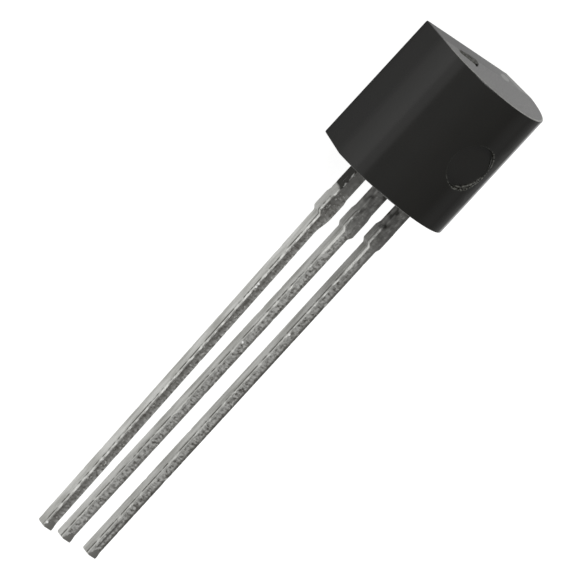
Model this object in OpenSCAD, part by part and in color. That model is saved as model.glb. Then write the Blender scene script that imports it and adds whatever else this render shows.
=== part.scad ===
// TO-92 transistor: a moulded case with a flat face and a round back, three leads cut from
// one stamped strip, and inside the case the chip, its solder layer and two bond wires.
// X runs along the row of leads, Y from the lead tips to the top of the case, and Z from the
// flat face to the round back. The origin is the middle of the flat face.

/* [Case] */
// Width across the round back
case_w = 4.58; // [4.4:0.02:4.8]
// Depth from the flat face to the round back
case_depth = 3.44; // [3.3:0.02:3.7]
// Height, measured at the parting line
case_h = 4.6; // [4.5:0.05:5.2]
// Width of the flat face
flat_w = 4.12; // [3.6:0.02:4.2]
// Height of the mould's parting line above the flat face
parting_z = 1.2; // [1.1:0.01:1.35]
// Draft of the end faces on the flat half, in degrees
flat_half_draft = 2.4; // [1:0.1:4]
// Draft of the end faces on the round half, in degrees
round_half_draft = 1.5; // [1:0.1:3]

/* [Marks of the mould] */
// Diameter of the ejector pin's mark in the round back
ejector_d = 1.62; // [1.2:0.02:1.8]
// Depth of the ejector pin's mark at the crown of the back
ejector_depth = 0.17; // [0.15:0.01:0.25]
// Distance from the middle of the top face to the middle of the gate scar
gate_offset = 0.92; // [0.7:0.02:1.1]
// Height of the gate scar's centre line above the parting line
gate_rise = 0.07; // [0:0.01:0.1]
// Length of the gate scar along the parting line
gate_length = 1.0; // [0.7:0.02:1.2]
// Width of the gate scar at its outer end
gate_narrow = 0.1; // [0.06:0.01:0.2]
// Width of the gate scar at its inner end
gate_wide = 0.32; // [0.22:0.01:0.4]
// Depth of the gate scar
gate_depth = 0.07; // [0.04:0.01:0.12]
// Diameter of the pit where the gate tore out
gate_pit_d = 0.14; // [0.1:0.01:0.2]
// Depth of the pit where the gate tore out
gate_pit_depth = 0.22; // [0.14:0.01:0.3]

/* [Leads] */
// Distance between the centre lines of neighbouring leads
pitch = 1.27; // [1.24:0.01:1.3]
// Thickness of the stamped strip
strip_t = 0.38; // [0.36:0.01:0.42]
// Width of the thin part of a lead
lead_w = 0.37; // [0.36:0.01:0.42]
// Length of the leads below the case
lead_length = 14.24; // [12.7:0.02:16]
// Radius of a lead's long edges, which the plating rounds
lead_edge_r = 0.07; // [0.04:0.01:0.1]
// Width of the collector lead's shoulder, from the dam bar to the case
collector_shoulder_w = 0.54; // [0.46:0.01:0.6]
// Width of the base lead's shoulder
base_shoulder_w = 0.5; // [0.46:0.01:0.6]
// Width of the emitter lead's shoulder
emitter_shoulder_w = 0.46; // [0.46:0.01:0.6]
// Overhang of the cut dam bar's stub on each side of a shoulder
stub_out = 0.045; // [0.02:0.005:0.08]
// Height of the stub along the lead
stub_h = 0.5; // [0.3:0.02:0.7]
// Distance from the case to the stub
stub_gap = 1.15; // [0.9:0.05:1.3]
// Height of the slopes above and below the stub
stub_slope_h = 0.17; // [0.1:0.01:0.25]
// Distance that the emitter lead's stubs sit towards the base lead
emitter_stub_shift = 0.035; // [0:0.005:0.04]
// Length of the facet that the cutter pressed into each tip
tip_facet_length = 0.3; // [0.2:0.02:0.5]
// Drop of the facet at the very tip
tip_facet_drop = 0.03; // [0.02:0.01:0.1]
// Height over which a tip narrows, on the two sides where the cutter pulled its edges down
tip_round_h = 0.09; // [0.05:0.01:0.12]
// Lean of the collector lead towards the base lead, in degrees
collector_lean = 1.45; // [0:0.05:1.8]
// Lean of the emitter lead away from the base lead, in degrees
emitter_lean = 0.15; // [0:0.05:1]

/* [Lead frame inside the case] */
// Width of the paddle that carries the chip
paddle_w = 2.2; // [1.8:0.05:2.3]
// Height of the paddle
paddle_h = 1.85; // [1.5:0.05:1.9]
// Epoxy between the paddle and the top of the case
paddle_cover = 0.72; // [0.6:0.02:0.9]
// Gap between the paddle and the emitter lead's post
paddle_gap = 0.35; // [0.25:0.01:0.4]
// Width of the bond posts
post_w = 0.78; // [0.65:0.01:0.85]
// Height of the bond posts
post_h = 0.55; // [0.4:0.01:0.6]
// Height of the base lead's post top above the bottom of the case
base_post_top = 1.5; // [1.3:0.02:1.6]
// Height of the emitter lead's post top above the bottom of the case
emitter_post_top = 2.9; // [2.4:0.05:3.2]
// Diameter of the hole in the paddle that locks it in the epoxy
lock_hole_d = 0.5; // [0.3:0.02:0.6]

/* [Chip and wires] */
// Side of the square chip
die_w = 0.6; // [0.4:0.02:0.7]
// Thickness of the chip
die_t = 0.2; // [0.15:0.01:0.25]
// Thickness of the solder under the chip
solder_t = 0.03; // [0.02:0.005:0.04]
// Width of solder that shows on each side of the chip
solder_margin = 0.04; // [0.02:0.01:0.08]
// Diameter of the bond wires
wire_d = 0.038; // [0.025:0.001:0.05]
// Diameter of the ball that joins a wire to the chip
ball_d = 0.1; // [0.08:0.005:0.12]
// Height of that ball
ball_h = 0.03; // [0.02:0.005:0.04]
// Angle that the arc of a wire sweeps, in degrees
wire_sweep = 120; // [90:5:140]

/* [Hidden] */
$fn = 64;

// The cutting tools reach past the surfaces that they cut by this much
past = 0.5;
// Thickness of the slices that slopes run between
slab = 0.01;
// Number of flats on each rounded edge of a lead
edge_flats = 4;
// The stem of a lead runs this far into its post or paddle
stem_overlap = 0.2;

// Case: the back is part of a circle, and both halves widen towards the parting line
back_r = case_w / 2;
back_axis_z = case_depth - back_r;
parting_half_w = sqrt(back_r * back_r - pow(parting_z - back_axis_z, 2));
bottom_y = -case_h / 2;
top_y = case_h / 2;

// Lead frame: its strip lies on the parting line, in the round half
strip_z = parting_z;
collector_x = -pitch;
base_x = 0;
emitter_x = pitch;
tip_y = bottom_y - lead_length;
stub_top_y = bottom_y - stub_gap;
stub_bottom_y = stub_top_y - stub_h;
thin_top_y = stub_bottom_y - stub_slope_h;
paddle_top_y = top_y - paddle_cover;
paddle_bottom_y = paddle_top_y - paddle_h;
paddle_right_x = emitter_x - post_w / 2 - paddle_gap;
paddle_left_x = paddle_right_x - paddle_w;
lock_hole_x = paddle_left_x + lock_hole_d;
lock_hole_y = paddle_top_y - lock_hole_d;

// Chip: it faces the flat side of the case
die_x = paddle_right_x - paddle_h / 2;
die_y = paddle_bottom_y + paddle_h / 2;
solder_z = strip_z - solder_t;
die_face_z = solder_z - die_t;
pad_offset = die_w / 4;

// A wire's arc runs on by this many degrees past the post's face, where it is trimmed flat
wire_overrun = 8;

// Outline of the case across the leads, in X and Z
module case_section() {
    polygon([
        [-flat_w / 2, 0],
        [flat_w / 2, 0],
        [parting_half_w, parting_z],
        [-parting_half_w, parting_z]
    ]);
    intersection() {
        translate([0, back_axis_z]) circle(r = back_r, $fn = 128);
        translate([-case_w, parting_z]) square([2 * case_w, case_depth]);
    }
}

// Outline of the case from the side, in Y and Z: two drafted halves that meet at the parting line
module case_side() {
    flat_inset = (parting_z + past) * tan(flat_half_draft);
    round_inset = (case_depth + past - parting_z) * tan(round_half_draft);
    polygon([
        [bottom_y + flat_inset, -past],
        [top_y - flat_inset, -past],
        [top_y, parting_z],
        [top_y - round_inset, case_depth + past],
        [bottom_y + round_inset, case_depth + past],
        [bottom_y, parting_z]
    ]);
}

module moulded_block() {
    intersection() {
        translate([0, top_y + past, 0]) rotate([90, 0, 0])
            linear_extrude(case_h + 2 * past) case_section();
        translate([-case_w, 0, 0]) rotate([90, 0, 90])
            linear_extrude(2 * case_w) case_side();
    }
}

// The flat-ended ejector pin stood a little inside the round back
module ejector_mark() {
    translate([0, 0, case_depth - ejector_depth])
        cylinder(d = ejector_d, h = ejector_depth + past, $fn = 96);
}

// The gate broke off at the parting line, and left a wedge-shaped scar with a pit at its wide end
module gate_scar() {
    gate_z = parting_z + gate_rise;
    outer_x = -gate_offset - gate_length / 2;
    inner_x = -gate_offset + gate_length / 2;
    translate([0, top_y + past, 0]) rotate([90, 0, 0])
        linear_extrude(past + gate_depth) polygon([
            [outer_x, gate_z - gate_narrow / 2],
            [inner_x, gate_z - gate_wide / 2],
            [inner_x, gate_z + gate_wide / 2],
            [outer_x, gate_z + gate_narrow / 2]
        ]);
    translate([inner_x - gate_pit_d, top_y + past, gate_z + gate_wide / 4]) rotate([90, 0, 0])
        cylinder(d = gate_pit_d, h = past + gate_pit_depth, $fn = 32);
}

// Section of a lead in X and Z, with rounded edges: an arc of a few flats at each corner
module lead_section(w, t = strip_t) {
    step = 90 / edge_flats;
    corners = [[1, 1, 0], [-1, 1, 90], [-1, -1, 180], [1, -1, 270]];
    polygon([
        for (c = corners, i = [0 : edge_flats])
            [
                c[0] * (w / 2 - lead_edge_r) + lead_edge_r * cos(c[2] + i * step),
                c[1] * (t / 2 - lead_edge_r) + lead_edge_r * sin(c[2] + i * step)
            ]
    ]);
}

// A straight length of lead between two heights, centred on X = 0 and Z = 0
module lead_length_of(w, low_y, high_y, t = strip_t) {
    translate([0, high_y, 0]) rotate([90, 0, 0])
        linear_extrude(high_y - low_y) lead_section(w, t);
}

// The thin part, from the dam bar's slope down to the pressed tip. Its origin is its top end.
module thin_part() {
    end_y = tip_y - thin_top_y;
    round_y = end_y + tip_round_h;
    end_w = lead_w - tip_round_h;
    end_t = strip_t - tip_round_h;
    facet_angle = atan(tip_facet_drop / tip_facet_length);
    difference() {
        union() {
            lead_length_of(lead_w, round_y, 0);
            hull() {
                lead_length_of(lead_w, round_y, round_y + slab);
                translate([tip_round_h / 2, 0, tip_round_h / 2])
                    lead_length_of(end_w, end_y, end_y + slab, end_t);
            }
        }
        translate([0, end_y + tip_facet_length, strip_t / 2]) rotate([facet_angle, 0, 0])
            translate([-past, -2 * tip_facet_length, 0])
                cube([2 * past, 2 * tip_facet_length, past]);
    }
}

// The wide part below the case, with the stubs that the cut dam bar left on its sides
module stubs(shoulder_w, shift) {
    stub_w = shoulder_w + 2 * stub_out;
    slope_top_y = stub_top_y + stub_slope_h;
    hull() {
        lead_length_of(lead_w, thin_top_y, thin_top_y + slab);
        translate([shift, 0, 0]) lead_length_of(stub_w, stub_bottom_y - slab, stub_bottom_y);
    }
    translate([shift, 0, 0]) lead_length_of(stub_w, stub_bottom_y - slab, stub_top_y + slab);
    hull() {
        translate([shift, 0, 0]) lead_length_of(stub_w, stub_top_y, stub_top_y + slab);
        lead_length_of(shoulder_w, slope_top_y - slab, slope_top_y);
    }
}

// The part of a lead outside the case, on its own centre line
module free_part(shoulder_w, lean, shift = 0) {
    translate([0, thin_top_y + slab, 0]) rotate([0, 0, lean]) thin_part();
    stubs(shoulder_w, shift);
    lead_length_of(shoulder_w, stub_top_y + stub_slope_h - slab, bottom_y);
}

// A flat shape in the plane of the strip
module in_strip() {
    translate([0, 0, strip_z]) linear_extrude(strip_t) children();
}

module on_lead(x) {
    translate([x, 0, strip_z + strip_t / 2]) children();
}

// The straight stem that runs from inside the case to just below it
module stem(x, shoulder_w, inner_y) {
    on_lead(x) lead_length_of(shoulder_w, bottom_y - slab, inner_y);
}

module bond_post(x, post_top) {
    in_strip() translate([x - post_w / 2, bottom_y + post_top - post_h]) square([post_w, post_h]);
}

module paddle() {
    in_strip() difference() {
        translate([paddle_left_x, paddle_bottom_y]) square([paddle_w, paddle_h]);
        translate([lock_hole_x, lock_hole_y]) circle(d = lock_hole_d, $fn = 48);
    }
}

// What the epoxy holds of each lead
module collector_inside() {
    stem(collector_x, collector_shoulder_w, paddle_bottom_y + stem_overlap);
    paddle();
}

module base_inside() {
    stem(base_x, base_shoulder_w, bottom_y + base_post_top - post_h + stem_overlap);
    bond_post(base_x, base_post_top);
}

module emitter_inside() {
    stem(emitter_x, emitter_shoulder_w, bottom_y + emitter_post_top - post_h + stem_overlap);
    bond_post(emitter_x, emitter_post_top);
}

module collector_lead() {
    color("#a9a9a4") {
        on_lead(collector_x) free_part(collector_shoulder_w, collector_lean);
        collector_inside();
    }
}

module base_lead() {
    color("#a9a9a4") {
        on_lead(base_x) free_part(base_shoulder_w, 0);
        base_inside();
    }
}

module emitter_lead() {
    color("#a9a9a4") {
        on_lead(emitter_x) free_part(emitter_shoulder_w, emitter_lean, -emitter_stub_shift);
        emitter_inside();
    }
}

module silicon_die() {
    color("#5d6470")
        translate([die_x - die_w / 2, die_y - die_w / 2, die_face_z])
            cube([die_w, die_w, die_t]);
}

module die_bond() {
    side = die_w + 2 * solder_margin;
    color("#8f9092")
        translate([die_x - side / 2, die_y - side / 2, solder_z])
            cube([side, side, solder_t]);
}

// A bond wire from the chip's pad to a post: a flattened ball on the pad, and from it one arc down
// to the post, in the upright plane through both ends. Up is away from the strip, towards -Z.
module bond_wire(pad, post) {
    run = post - pad;
    span = norm(run);
    ball_z = strip_z - die_face_z;
    start_height = ball_z + ball_h;
    chord = norm([span, start_height]);
    chord_slope = atan2(start_height, span);
    arc_r = chord / (2 * sin(wire_sweep / 2));
    centre_drop = arc_r * cos(wire_sweep / 2);
    centre = [
        span / 2 - centre_drop * sin(chord_slope),
        start_height / 2 - centre_drop * cos(chord_slope)
    ];
    first_angle = 90 - wire_sweep / 2 - chord_slope - wire_overrun;
    translate([pad[0], pad[1], strip_z]) rotate([0, 0, atan2(run[1], run[0])]) mirror([0, 0, 1])
        difference() {
            union() {
                translate([0, 0, ball_z]) cylinder(d = ball_d, h = ball_h, $fn = 32);
                translate([centre[0], 0, centre[1]]) rotate([90, 0, 0])
                    rotate_extrude(angle = wire_sweep + wire_overrun, start = first_angle, $fn = 96)
                        translate([arc_r, 0]) circle(d = wire_d, $fn = 24);
            }
            translate([-past, -past, -past]) cube([span + 2 * past, 2 * past, past]);
        }
}

module emitter_wire() {
    color("#d8b24a")
        bond_wire([die_x + pad_offset, die_y], [emitter_x, bottom_y + emitter_post_top - post_h / 2]);
}

module base_wire() {
    color("#d8b24a")
        bond_wire([die_x, die_y - pad_offset], [base_x, bottom_y + base_post_top - post_h / 2]);
}

module case() {
    color("#2a2a28")
        difference() {
            moulded_block();
            ejector_mark();
            gate_scar();
            collector_inside();
            base_inside();
            emitter_inside();
            silicon_die();
            die_bond();
            emitter_wire();
            base_wire();
        }
}

case();
collector_lead();
base_lead();
emitter_lead();
silicon_die();
die_bond();
emitter_wire();
base_wire();
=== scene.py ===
# Looks of a TO-92 transistor: a moulded epoxy case with a flat face and a round back, and three
# tin-plated leads cut from one stamped strip. Lengths are in millimetres until a mesh is made.
from math import asin, atan2, cos, degrees, hypot, pi, radians, sin, sqrt, tan

import bmesh
import bpy
from mathutils import Matrix, Vector, geometry, noise


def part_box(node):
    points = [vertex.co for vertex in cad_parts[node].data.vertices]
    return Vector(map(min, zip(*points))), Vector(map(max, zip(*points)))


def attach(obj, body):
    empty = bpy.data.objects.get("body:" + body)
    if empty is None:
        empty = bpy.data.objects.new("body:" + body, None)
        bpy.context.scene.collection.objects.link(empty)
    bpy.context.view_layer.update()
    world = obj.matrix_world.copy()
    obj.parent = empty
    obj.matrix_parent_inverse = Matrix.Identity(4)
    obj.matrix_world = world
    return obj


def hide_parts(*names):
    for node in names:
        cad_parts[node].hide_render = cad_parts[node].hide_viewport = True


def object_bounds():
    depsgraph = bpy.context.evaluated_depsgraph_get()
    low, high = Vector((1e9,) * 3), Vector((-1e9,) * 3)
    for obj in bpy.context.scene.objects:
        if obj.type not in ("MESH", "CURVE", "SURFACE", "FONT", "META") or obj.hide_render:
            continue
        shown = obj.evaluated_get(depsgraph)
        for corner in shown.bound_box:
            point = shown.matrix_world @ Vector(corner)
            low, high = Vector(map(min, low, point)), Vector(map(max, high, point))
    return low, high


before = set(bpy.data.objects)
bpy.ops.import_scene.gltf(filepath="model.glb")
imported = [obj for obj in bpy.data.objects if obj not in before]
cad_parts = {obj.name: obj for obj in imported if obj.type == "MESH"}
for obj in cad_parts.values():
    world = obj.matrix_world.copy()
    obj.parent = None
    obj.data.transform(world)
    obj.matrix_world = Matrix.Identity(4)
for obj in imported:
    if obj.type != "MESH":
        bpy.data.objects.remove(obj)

MM = 0.001
cad_low, cad_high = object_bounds()


def node_box(name):
    """Lowest and highest corners of a solid, in millimetres."""
    low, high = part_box(name)
    return [c / MM for c in low], [c / MM for c in high]


def clamp(value, low=0.0, high=1.0):
    return max(low, min(high, value))


def smooth(low, high, value):
    """From 0 at low to 1 at high, with soft ends."""
    t = clamp((value - low) / (high - low))
    return t * t * (3 - 2 * t)


def mix(a, b, t):
    return a + (b - a) * t


def at_stop(stops, place):
    """Values at a place, straight between the rows of a list of (place, value, ...)."""
    for low, high in zip(stops, stops[1:]):
        if low[0] <= place <= high[0]:
            t = (place - low[0]) / (high[0] - low[0])
            return [mix(a, b, t) for a, b in zip(low[1:], high[1:])]
    return stops[0][1:] if place < stops[0][0] else stops[-1][1:]


def rough(x, y, z, size, seed):
    """Smooth random value from -1 to 1 whose bumps are about size millimetres apart. Each seed
    moves the pattern elsewhere."""
    return noise.noise(Vector((
        x / size + 17.3 * seed, y / size - 9.1 * seed, z / size + 4.7 * seed)))


# ---------------------------------------------------------------- materials


def linear(hex_colour):
    """An sRGB hex colour as linear RGBA."""
    parts = [int(hex_colour[i:i + 2], 16) / 255 for i in (1, 3, 5)]
    return [c / 12.92 if c <= 0.04045 else ((c + 0.055) / 1.055) ** 2.4 for c in parts] + [1.0]


def add(tree, kind, inputs=None, **settings):
    """Adds a node with its settings. Each input is a value, an sRGB hex colour, or what feeds it:
    an output, or a node, which means its first output in use. Inputs that share a name go by
    number. Mix: 0 is the share of the second value, 2 and 3 are its numbers, 6 and 7 its colours.
    MapRange: 1 and 2 are the range that comes in, 3 and 4 the range that goes out, from 0 to 1
    where they aren't given."""
    made = tree.nodes.new("ShaderNode" + kind)
    for name, value in settings.items():
        setattr(made, name, value)
    for key, value in (inputs or {}).items():
        if isinstance(value, bpy.types.Node):
            value = next(output for output in value.outputs if output.enabled)
        if isinstance(value, bpy.types.NodeSocket):
            tree.links.new(value, made.inputs[key])
        else:
            made.inputs[key].default_value = linear(value) if isinstance(value, str) else value
    return made


def near_line(tree, value, line, outer, inner, most=1.0, width=1.0):
    """How near a value comes to a line: 0 further off than outer, and most nearer than inner. Both
    distances are multiplied by width."""
    off = add(tree, "Math", {0: value, 1: line}, operation="SUBTRACT")
    off = add(tree, "Math", {0: off}, operation="ABSOLUTE")
    off = add(tree, "Math", {0: off, 1: width}, operation="DIVIDE")
    return add(tree, "MapRange", {0: off, 1: outer, 2: inner, 4: most})


def per_mm(size):
    """Scale of a pattern whose features are size millimetres apart."""
    return 1 / (size * MM)


def new_material(name):
    """An empty material and its node tree."""
    made = bpy.data.materials.new(name)
    made.use_nodes = True
    made.node_tree.nodes.clear()
    return made, made.node_tree


# Height of the line where the two halves of the mould met
PARTING_Z = 1.2
# Index of refraction of epoxy that is mostly fused silica
EPOXY_IOR = 1.45
# What a lead's mesh tells its material, point by point
LEAD_MARKS = ("from_edge", "resin_and_shade", "stain_and_shade", "cut", "ridge_highlight", "glint_speck")
# A painted highlight: a pale, smoother streak slanting over the flat half of the top face
SHEEN_STREAK = {"middle": (1.26, 2.28, 0.81), "long": 0.62, "wide": 0.22}


def polished_epoxy():
    """Black epoxy moulding compound from the polished wall of the cavity. It mirrors softly when
    seen square on, its silica breaks the gloss up at a low angle, and it is pale where it tore;
    round the ejector mark that pale is partly a painted highlight on its lip."""
    made, tree = new_material("polished_moulding_epoxy")
    place = add(tree, "TexCoord").outputs["Object"]
    # Cloudiness of the compound, its coarsest filler, and the crumbs that make a tear uneven
    cloud, filler, crumbs = (
        add(tree, "TexNoise", {"Vector": place, "Scale": per_mm(size), "Detail": detail})
        for size, detail in ((1.7, 3.0), (0.07, 3.0), (0.06, 4.0)))
    body = add(tree, "Mix", {0: cloud, 6: "#131311", 7: "#1c1b18"}, data_type="RGBA")
    crumbs = add(tree, "MapRange", {0: crumbs, 1: 0.4, 2: 0.6})
    torn = add(tree, "Attribute", attribute_name="torn").outputs["Fac"]
    torn = add(tree, "Math", {0: torn, 1: crumbs}, operation="MULTIPLY")
    # Pale where it tore; at the ejector mark's lip this is partly a painted highlight
    colour = add(tree, "Mix", {0: torn, 6: body, 7: "#797973"}, data_type="RGBA")

    dull = add(tree, "MapRange", {0: filler, 1: 0.3, 2: 0.7, 3: 0.14, 4: 0.21})
    dull = add(tree, "Mix", {0: torn, 2: dull, 3: 0.8})
    bump = add(tree, "Bump", {"Height": filler, "Strength": 0.1, "Distance": 0.003 * MM})
    skin = add(tree, "BsdfPrincipled", {
        "Base Color": colour, "Roughness": dull, "Normal": bump, "IOR": EPOXY_IOR})
    grit = add(tree, "BsdfDiffuse", {"Color": colour, "Normal": bump})
    # The gloss fades as the wall slants away, and comes back only at its limb
    slant = add(tree, "LayerWeight", {"Blend": 0.5}).outputs["Facing"]
    glossy = add(tree, "MapRange", {0: slant, 1: 0.08, 2: 0.5, 3: 1.0, 4: 0.22})
    limb = add(tree, "MapRange", {0: slant, 1: 0.7, 2: 0.9, 3: 0.0, 4: 0.8})
    glossy = add(tree, "Math", {0: glossy, 1: limb}, operation="MAXIMUM")
    both = add(tree, "MixShader", {0: glossy, 1: grit, 2: skin})
    add(tree, "OutputMaterial", {"Surface": both})
    return made


def eroded_epoxy():
    """The same compound from the spark-eroded ends of the cavity: an even, fine, matt grey with a
    sheen at a low angle. The torn gate has no sheen, so it is dark, and flash stands pale along
    the parting line. Shade is painted on the flat half and in the gate's pit and groove, and a
    streak and the rim are painted pale as highlights."""
    made, tree = new_material("eroded_moulding_epoxy")
    place = add(tree, "TexCoord").outputs["Object"]
    axes = add(tree, "SeparateXYZ", {0: place}).outputs
    cloud, grain = (
        add(tree, "TexNoise", {"Vector": place, "Scale": per_mm(size), "Detail": 3.0})
        for size in (0.9, 0.06))
    colour = add(tree, "Mix", {0: cloud, 6: "#272725", 7: "#302e2c"}, data_type="RGBA")

    # Painted shade: the flat half is darker than the round half, most at -X, and a little rougher
    flat_half = add(tree, "MapRange", {
        0: axes["Z"], 1: (PARTING_Z + 0.01) * MM, 2: (PARTING_Z - 0.01) * MM})
    across = add(tree, "MapRange", {0: axes["X"], 1: -1.0 * MM, 2: 2.2 * MM, 3: 0.55, 4: 0.0})
    shade_and_roughness = add(tree, "Math", {0: flat_half, 1: across}, operation="MULTIPLY")
    # Flash along the parting line
    flash = near_line(
        tree, axes["Z"], line=PARTING_Z * MM, outer=0.022 * MM, inner=0.008 * MM, most=0.35)

    # A painted highlight: a pale, smoother streak near one corner of the flat half, and a pale
    # strip along its side. The streak is an ellipse, so its place is measured along and across it.
    sheen_streak = add(tree, "VectorMath", {
        0: place, 1: [c * MM for c in SHEEN_STREAK["middle"]]}, operation="SUBTRACT")
    ends, sides = (
        add(tree, "VectorMath", {0: sheen_streak, 1: (per_mm(size), 0, way * per_mm(size))},
            operation="DOT_PRODUCT")
        for size, way in ((SHEEN_STREAK["long"], -1), (SHEEN_STREAK["wide"], 1)))
    sheen_streak = add(tree, "CombineXYZ", {0: ends, 1: sides})
    sheen_streak = add(tree, "VectorMath", {0: sheen_streak}, operation="LENGTH")
    sheen_streak = add(tree, "MapRange", {0: sheen_streak, 1: 1.08, 2: 0.95, 4: 0.7})
    side_sheen = add(tree, "MapRange", {0: axes["X"], 1: 1.64 * MM, 2: 1.7 * MM, 4: 0.45})
    side_sheen = add(tree, "Math", {0: side_sheen, 1: flat_half}, operation="MULTIPLY")
    sheen_streak = add(tree, "Math", {0: sheen_streak, 1: side_sheen}, operation="MAXIMUM")
    # Only the top end has the painted highlight
    at_top = add(tree, "MapRange", {0: axes["Y"], 1: 0.0, 2: 1.0 * MM})
    sheen_streak = add(tree, "Math", {0: sheen_streak, 1: at_top}, operation="MULTIPLY")

    # A painted highlight: the rim of the face is painted pale, broken up by nicks
    rim_highlight = add(tree, "Attribute", attribute_name="rim_highlight").outputs["Fac"]
    nicks = add(tree, "MapRange", {0: grain, 1: 0.35, 2: 0.55, 3: 0.35, 4: 0.9})
    rim_highlight = add(tree, "Math", {0: rim_highlight, 1: nicks}, operation="MULTIPLY")
    # Broken epoxy in the torn gate
    torn = add(tree, "Attribute", attribute_name="torn").outputs["Fac"]
    chips = add(tree, "MapRange", {0: grain, 1: 0.4, 2: 0.6})
    chips = add(tree, "Mix", {0: chips, 6: "#4a4a46", 7: "#666661"}, data_type="RGBA")
    # Each layer covers those before it: painted shade on the flat half, flash, the painted
    # highlight streak, the painted rim highlight, and the torn gate
    for share, over in (
            (shade_and_roughness, "#171716"), (flash, "#71716c"), (sheen_streak, "#686863"), (rim_highlight, "#9a9a94"),
            (torn, chips)):
        colour = add(tree, "Mix", {0: share, 6: colour, 7: over}, data_type="RGBA")

    dull = add(tree, "MapRange", {0: grain, 1: 0.3, 2: 0.7, 3: 0.4, 4: 0.48})
    dull = add(tree, "Mix", {0: shade_and_roughness, 2: dull, 3: 0.6})
    dull = add(tree, "Mix", {0: sheen_streak, 2: dull, 3: 0.42})
    bump = add(tree, "Bump", {"Height": grain, "Strength": 0.35, "Distance": 0.003 * MM})
    skin = add(tree, "BsdfPrincipled", {
        "Base Color": colour, "Roughness": dull, "Normal": bump, "IOR": EPOXY_IOR})
    # Painted shade, in the gate's pit, round its lip and along its groove
    recess_shade = add(tree, "Attribute", attribute_name="recess_shade").outputs["Fac"]
    colour = add(tree, "Mix", {0: recess_shade, 6: colour, 7: "#2b2b29"}, data_type="RGBA")
    crumbly = add(tree, "BsdfDiffuse", {"Color": colour, "Normal": bump})
    both = add(tree, "MixShader", {0: torn, 1: skin, 2: crumbly})
    add(tree, "OutputMaterial", {"Surface": both})
    return made


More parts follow.
